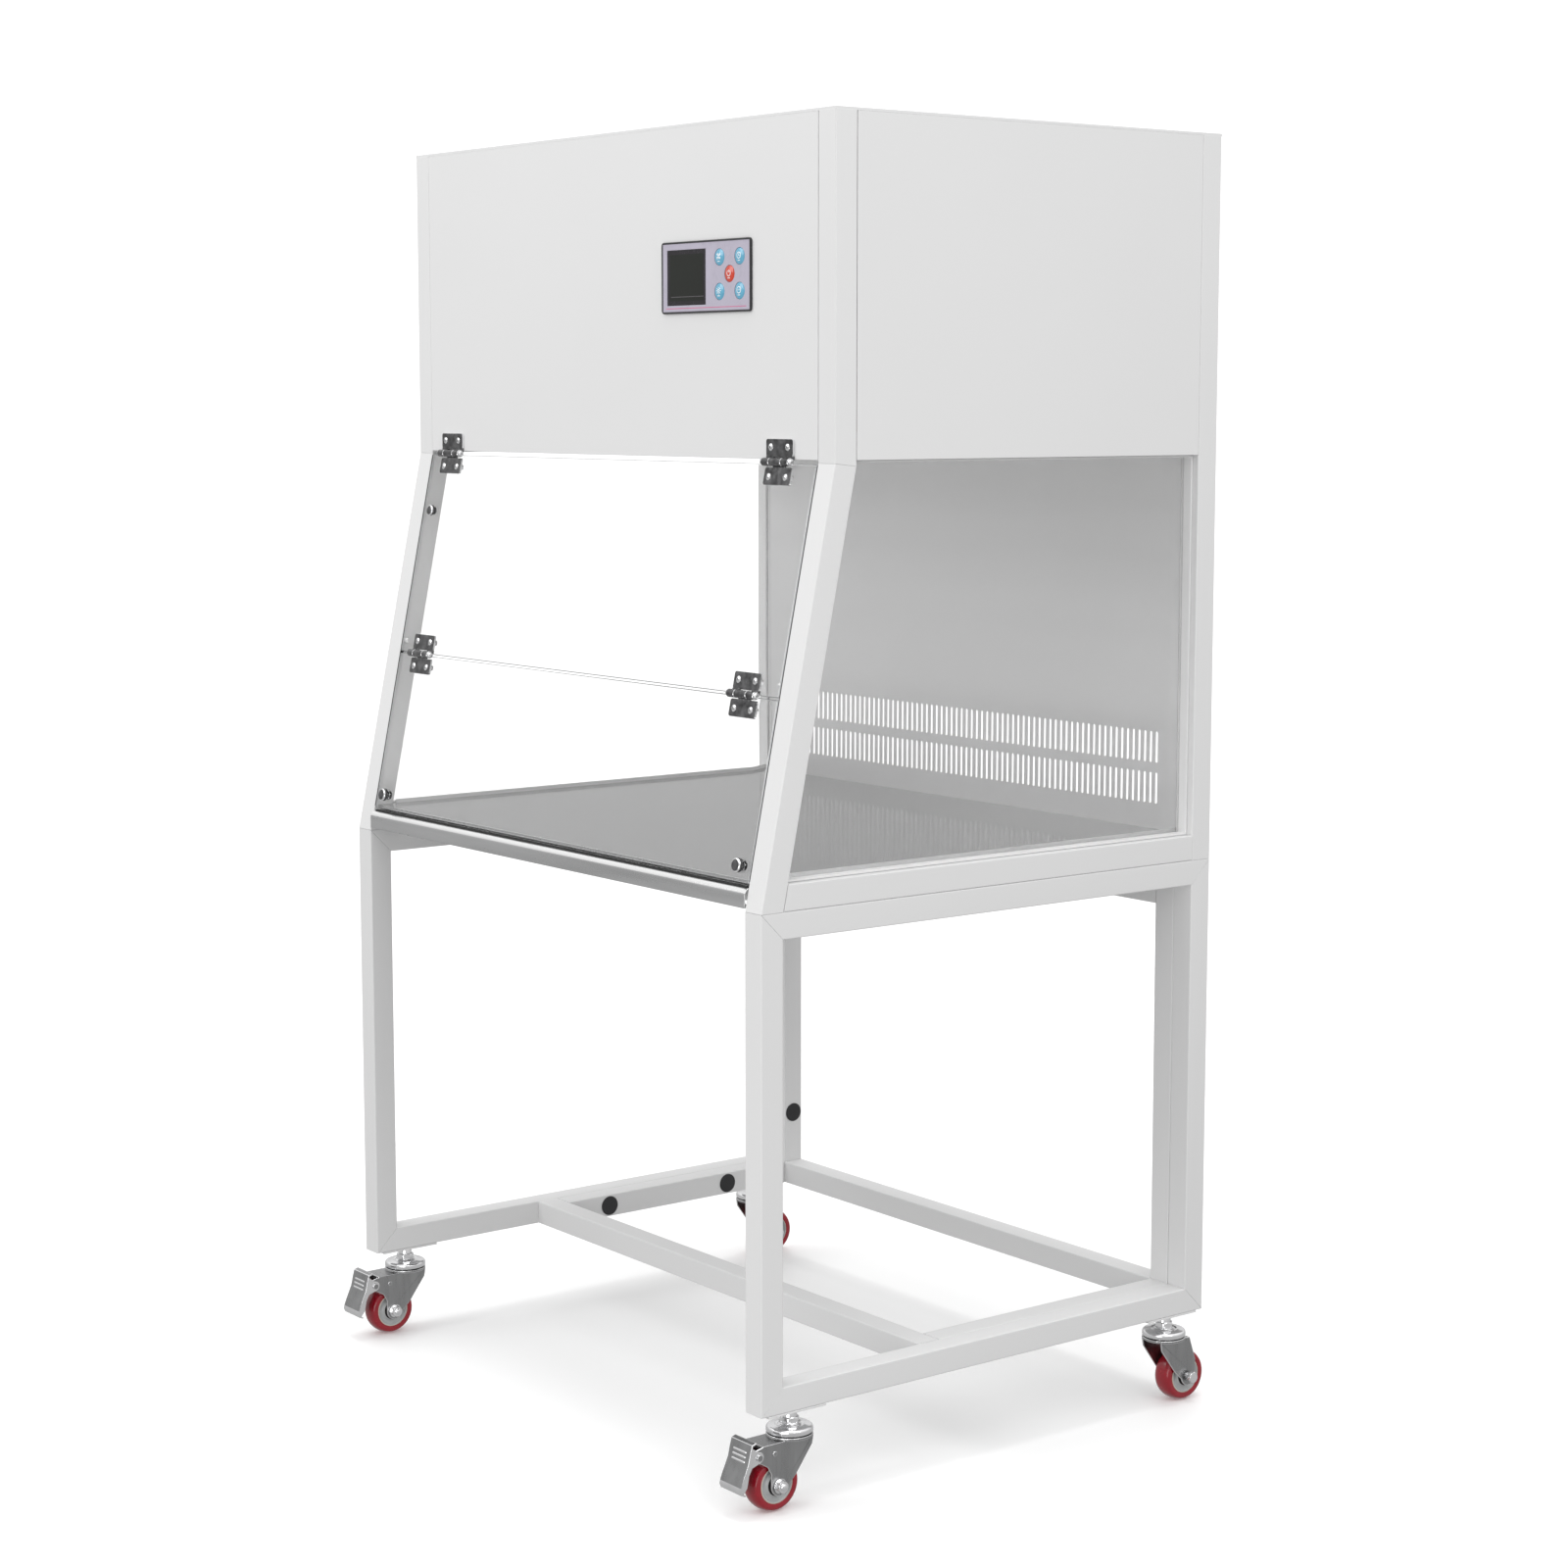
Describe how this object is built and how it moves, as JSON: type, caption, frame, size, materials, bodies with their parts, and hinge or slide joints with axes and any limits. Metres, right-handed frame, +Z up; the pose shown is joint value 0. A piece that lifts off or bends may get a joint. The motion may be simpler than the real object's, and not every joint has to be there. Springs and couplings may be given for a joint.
{
  "type": "fume hood",
  "caption": "Wheeled laminar-flow hood: steel cabinet over a tube stand, folding clear sash, glass sides, steel work tray, filter and fan box, keypad, braked casters.",
  "frame": {"origin": "on the floor, under the middle of the overall box (casters and brake pedals included)", "axes": "+Z up, +X to the operator's right, the operator stands at -Y facing +Y"},
  "size_m": [0.883, 0.7186, 1.5275],
  "materials": {
    "painted_white": "satin powder coat",
    "stainless": "brushed",
    "side_glass": "clear",
    "acrylic": "clear gloss",
    "black_rubber": "matte",
    "black_plastic": "satin",
    "white_plastic": "satin",
    "filter_board": "plain board",
    "filter_media": "pleated",
    "galvanised": "zinc coated",
    "cast_alloy": "satin",
    "motor_black": "satin",
    "lamp_white": "gloss",
    "circuit_green": "gloss",
    "overlay_grey": "satin film",
    "lcd_black": "gloss",
    "button_blue": "gloss",
    "button_red": "gloss",
    "chrome_zinc": "polished",
    "bolt_steel": "zinc",
    "caster_steel": "bright zinc",
    "red_urethane": "gloss",
    "hub_grey": "satin"
  },
  "bodies": {
    "cabinet": {"post_front_l": "painted_white", "post_front_r": "painted_white", "posts_back": "painted_white", "hood_rails": "painted_white", "panel_front": "painted_white", "panel_side_l": "painted_white", "panel_side_r": "painted_white", "panel_back": "painted_white", "panel_top": "painted_white", "back_wall": "stainless", "work_tray": "stainless", "glass_l": "side_glass", "glass_r": "side_glass", "glass_strips": "white_plastic", "seals": "black_rubber", "diffuser": "stainless", "hepa_frame": "filter_board", "hepa_media": "filter_media", "prefilter": "filter_media", "blower_housing": "galvanised", "blower_motor": "motor_black", "lamps": "lamp_white", "control_board": "circuit_green", "power_inlet": "black_plastic", "control_bezel": "black_plastic", "control_overlay": "overlay_grey", "lcd": "lcd_black", "hinge_frame": "chrome_zinc", "stand_side_l": "painted_white", "stand_side_r": "painted_white", "stand_link": "painted_white", "stand_bolts": "bolt_steel", "stand_plugs": "black_plastic", "caster_stems": "caster_steel"},
    "sash_upper": {"sash_upper": "acrylic", "hinge_upper": "chrome_zinc", "catch_stud": "chrome_zinc"},
    "sash_lower": {"sash_lower": "acrylic", "hinge_lower": "chrome_zinc", "knobs": "chrome_zinc"},
    "impeller": {"impeller": "cast_alloy"},
    "button_fan": {"button_fan": "button_blue"},
    "button_timer": {"button_timer": "button_blue"},
    "button_power": {"button_power": "button_red"},
    "button_lamp": {"button_lamp": "button_blue"},
    "button_socket": {"button_socket": "button_blue"},
    "fork_fl": {"fork_fl": "caster_steel"},
    "wheel_fl": {"tyre_fl": "red_urethane", "hub_fl": "hub_grey"},
    "fork_fr": {"fork_fr": "caster_steel"},
    "wheel_fr": {"tyre_fr": "red_urethane", "hub_fr": "hub_grey"},
    "fork_bl": {"fork_bl": "caster_steel"},
    "wheel_bl": {"tyre_bl": "red_urethane", "hub_bl": "hub_grey"},
    "fork_br": {"fork_br": "caster_steel"},
    "wheel_br": {"tyre_br": "red_urethane", "hub_br": "hub_grey"},
    "pedal_fl": {"pedal_fl": "caster_steel"},
    "pedal_fr": {"pedal_fr": "caster_steel"}
  },
  "joints": [
    {"name": "sash_upper_hinge", "type": "hinge", "parent": "cabinet", "child": "sash_upper", "pos_m": [0, -0.2327, 1.15112], "axis": [-1, 0, 0], "range_deg": [0, 150]},
    {"name": "sash_fold_hinge", "type": "hinge", "parent": "sash_upper", "child": "sash_lower", "pos_m": [0, -0.28519, 0.89915], "axis": [-1, 0, 0], "range_deg": [0, 178]},
    {"name": "blower_spin", "type": "hinge", "parent": "cabinet", "child": "impeller", "pos_m": [0, 0.0863, 1.334], "axis": [0, 0, 1], "continuous": true},
    {"name": "button_fan_press", "type": "slide", "parent": "cabinet", "child": "button_fan", "axis": [0, 1, 0], "range_m": [0, 0.0008], "stiffness_N_per_m": 600},
    {"name": "button_timer_press", "type": "slide", "parent": "cabinet", "child": "button_timer", "axis": [0, 1, 0], "range_m": [0, 0.0008], "stiffness_N_per_m": 600},
    {"name": "button_power_press", "type": "slide", "parent": "cabinet", "child": "button_power", "axis": [0, 1, 0], "range_m": [0, 0.0008], "stiffness_N_per_m": 600},
    {"name": "button_lamp_press", "type": "slide", "parent": "cabinet", "child": "button_lamp", "axis": [0, 1, 0], "range_m": [0, 0.0008], "stiffness_N_per_m": 600},
    {"name": "button_socket_press", "type": "slide", "parent": "cabinet", "child": "button_socket", "axis": [0, 1, 0], "range_m": [0, 0.0008], "stiffness_N_per_m": 600},
    {"name": "caster_fl_swivel", "type": "hinge", "parent": "cabinet", "child": "fork_fl", "pos_m": [-0.415, -0.2767, 0.0865], "axis": [0, 0, 1], "continuous": true},
    {"name": "caster_fl_roll", "type": "hinge", "parent": "fork_fl", "child": "wheel_fl", "pos_m": [-0.415, -0.3032, 0.0315], "axis": [1, 0, 0], "continuous": true},
    {"name": "caster_fr_swivel", "type": "hinge", "parent": "cabinet", "child": "fork_fr", "pos_m": [0.415, -0.2767, 0.0865], "axis": [0, 0, 1], "continuous": true},
    {"name": "caster_fr_roll", "type": "hinge", "parent": "fork_fr", "child": "wheel_fr", "pos_m": [0.415, -0.3032, 0.0315], "axis": [1, 0, 0], "continuous": true},
    {"name": "caster_bl_swivel", "type": "hinge", "parent": "cabinet", "child": "fork_bl", "pos_m": [-0.415, 0.3013, 0.0865], "axis": [0, 0, 1], "continuous": true},
    {"name": "caster_bl_roll", "type": "hinge", "parent": "fork_bl", "child": "wheel_bl", "pos_m": [-0.415, 0.3278, 0.0315], "axis": [1, 0, 0], "continuous": true},
    {"name": "caster_br_swivel", "type": "hinge", "parent": "cabinet", "child": "fork_br", "pos_m": [0.415, 0.3013, 0.0865], "axis": [0, 0, 1], "continuous": true},
    {"name": "caster_br_roll", "type": "hinge", "parent": "fork_br", "child": "wheel_br", "pos_m": [0.415, 0.3278, 0.0315], "axis": [1, 0, 0], "continuous": true},
    {"name": "brake_fl_lift", "type": "hinge", "parent": "fork_fl", "child": "pedal_fl", "pos_m": [-0.415, -0.3332, 0.07], "axis": [-1, 0, 0], "range_deg": [0, 18]},
    {"name": "brake_fr_lift", "type": "hinge", "parent": "fork_fr", "child": "pedal_fr", "pos_m": [0.415, -0.3332, 0.07], "axis": [-1, 0, 0], "range_deg": [0, 18]}
  ]
}
